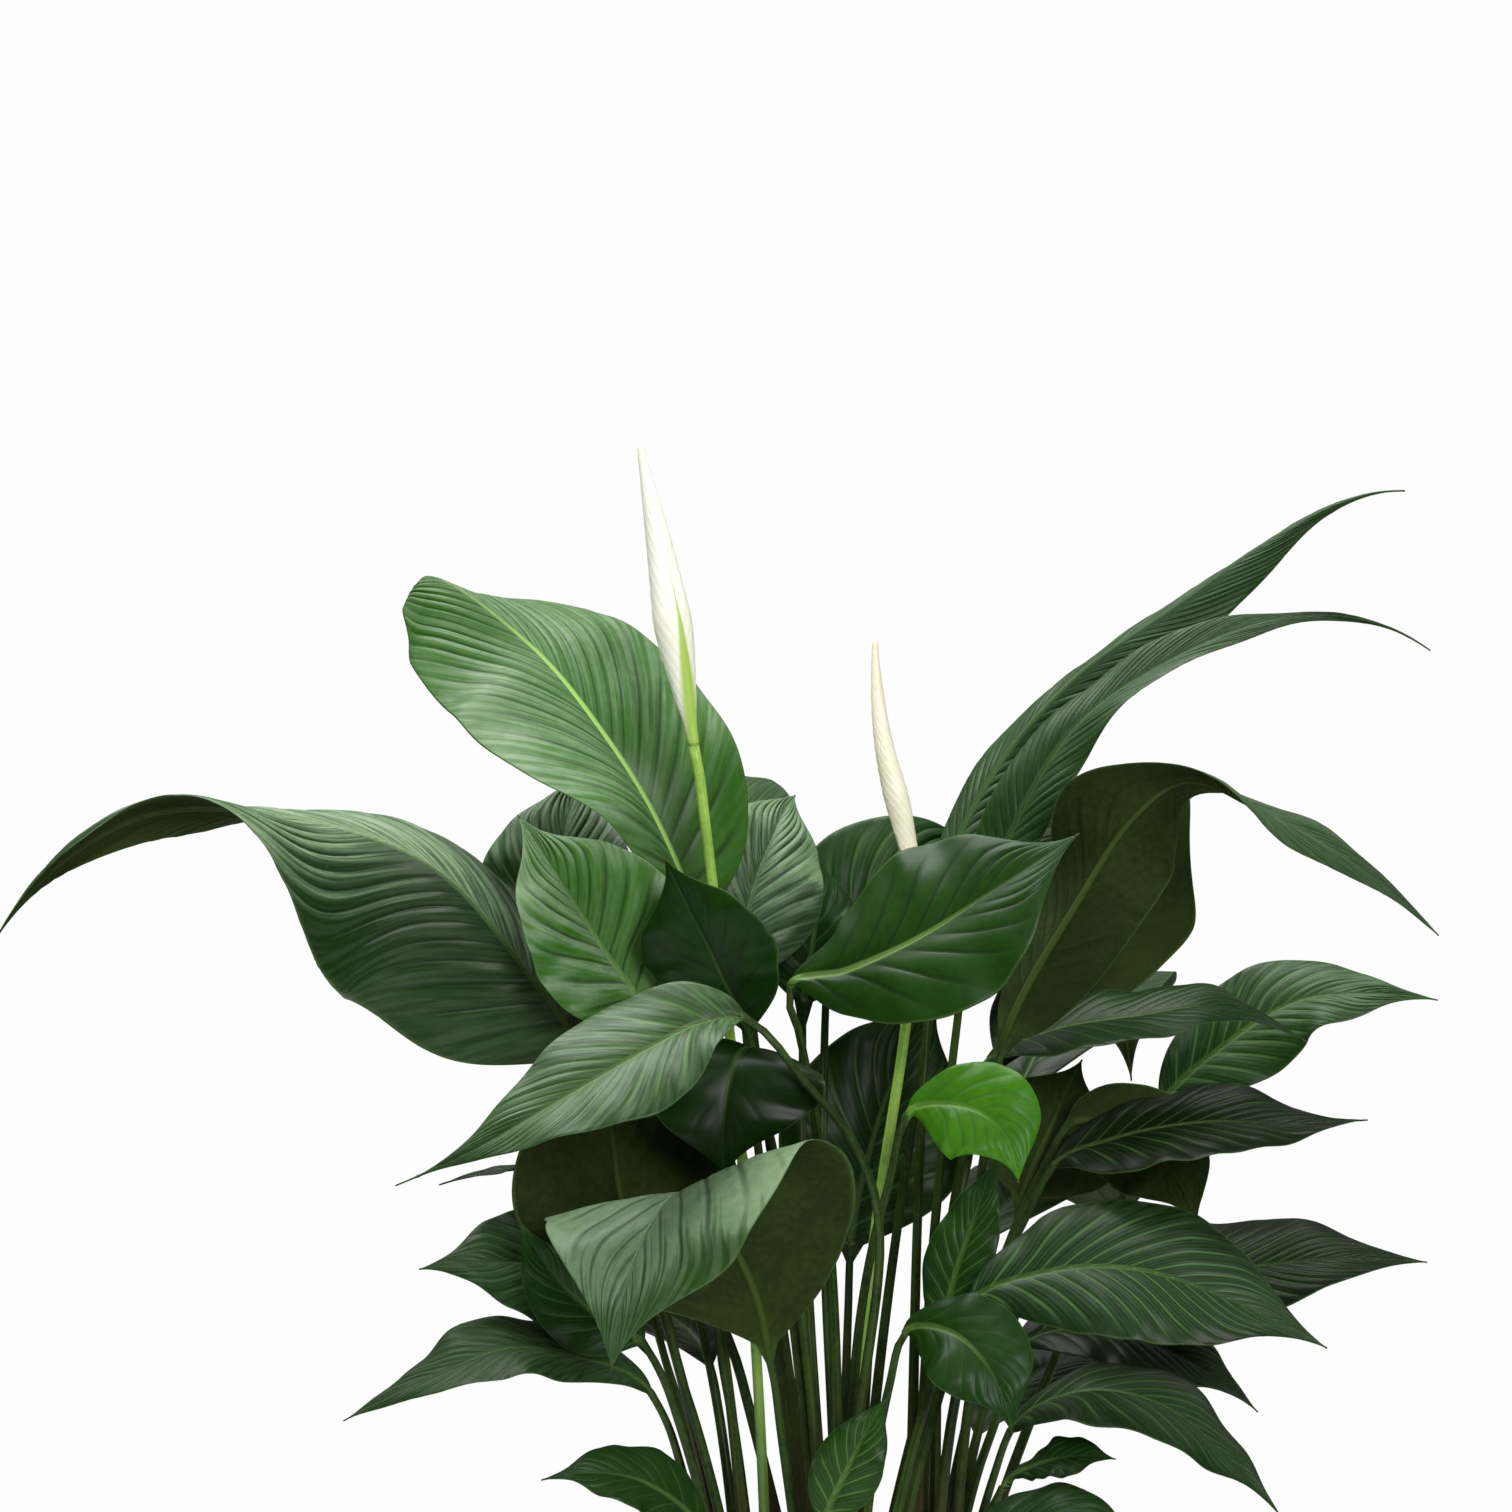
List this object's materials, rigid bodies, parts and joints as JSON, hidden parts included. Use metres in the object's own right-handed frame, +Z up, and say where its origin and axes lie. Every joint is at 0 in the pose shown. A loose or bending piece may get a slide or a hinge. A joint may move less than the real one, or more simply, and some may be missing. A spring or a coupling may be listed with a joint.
{
  "type": "potted peace lily",
  "caption": "Peace lily houseplant: a dense clump of arching glossy leaves on long stalks with furled white flowers, in a plain round pot.",
  "frame": {"origin": "centre of the pot's flat underside", "axes": "+Z up through the pot and the plant, +X to the right and -Y to the front as the plant is usually seen"},
  "size_m": [0.7194, 0.4802, 0.7733],
  "materials": {
    "pot": "matte unglazed terracotta",
    "soil": "moist crumbly potting mix",
    "crown": "rough green-brown stem base",
    "leaf": "glossy upper side, satin underside, ribbed between veins",
    "scape": "smooth satin",
    "spathe": "soft satin, ivory",
    "spadix": "matte, finely knobbly"
  },
  "bodies": {
    "root": {"pot": "pot", "soil": "soil", "crown_back": "crown", "crown_front": "crown", "crown_left": "crown", "crown_right": "crown", "leaf_back_high": "leaf", "leaf_back_left_high": "leaf", "leaf_back_left_low": "leaf", "leaf_back_left_mid": "leaf", "leaf_back_mid": "leaf", "leaf_back_right_high": "leaf", "leaf_back_right_low": "leaf", "leaf_back_right_mid": "leaf", "leaf_back_right_upper": "leaf", "leaf_centre_back_grey": "leaf", "leaf_centre_back_right": "leaf", "leaf_centre_back_small": "leaf", "leaf_centre_dark": "leaf", "leaf_centre_hanging": "leaf", "leaf_centre_left_glossy": "leaf", "leaf_centre_right_bright": "leaf", "leaf_centre_young": "leaf", "leaf_front_folded": "leaf", "leaf_front_left_sweep": "leaf", "leaf_front_low_young": "leaf", "leaf_front_right_small": "leaf", "leaf_left_behind": "leaf", "leaf_left_hidden_tip": "leaf", "leaf_left_long_arch": "leaf", "leaf_left_low_long": "leaf", "leaf_left_lowest": "leaf", "leaf_left_mid": "leaf", "leaf_left_narrow_drop": "leaf", "leaf_left_shaded": "leaf", "leaf_right_back_tip": "leaf", "leaf_right_behind_broad": "leaf", "leaf_right_broad": "leaf", "leaf_right_drooping": "leaf", "leaf_right_far": "leaf", "leaf_right_glossy": "leaf", "leaf_right_inner": "leaf", "leaf_right_low_arch": "leaf", "leaf_right_low_small": "leaf", "leaf_right_lowest": "leaf", "leaf_right_mid": "leaf", "leaf_right_narrow": "leaf", "leaf_right_pointed": "leaf", "leaf_right_second": "leaf", "leaf_right_shadowed": "leaf", "leaf_right_top": "leaf", "leaf_right_under": "leaf", "leaf_upper_left_broad": "leaf", "scape_left": "scape", "scape_right": "scape", "spadix_left": "spadix", "spadix_right": "spadix", "spathe_left": "spathe", "spathe_right": "spathe"}
  },
  "joints": []
}
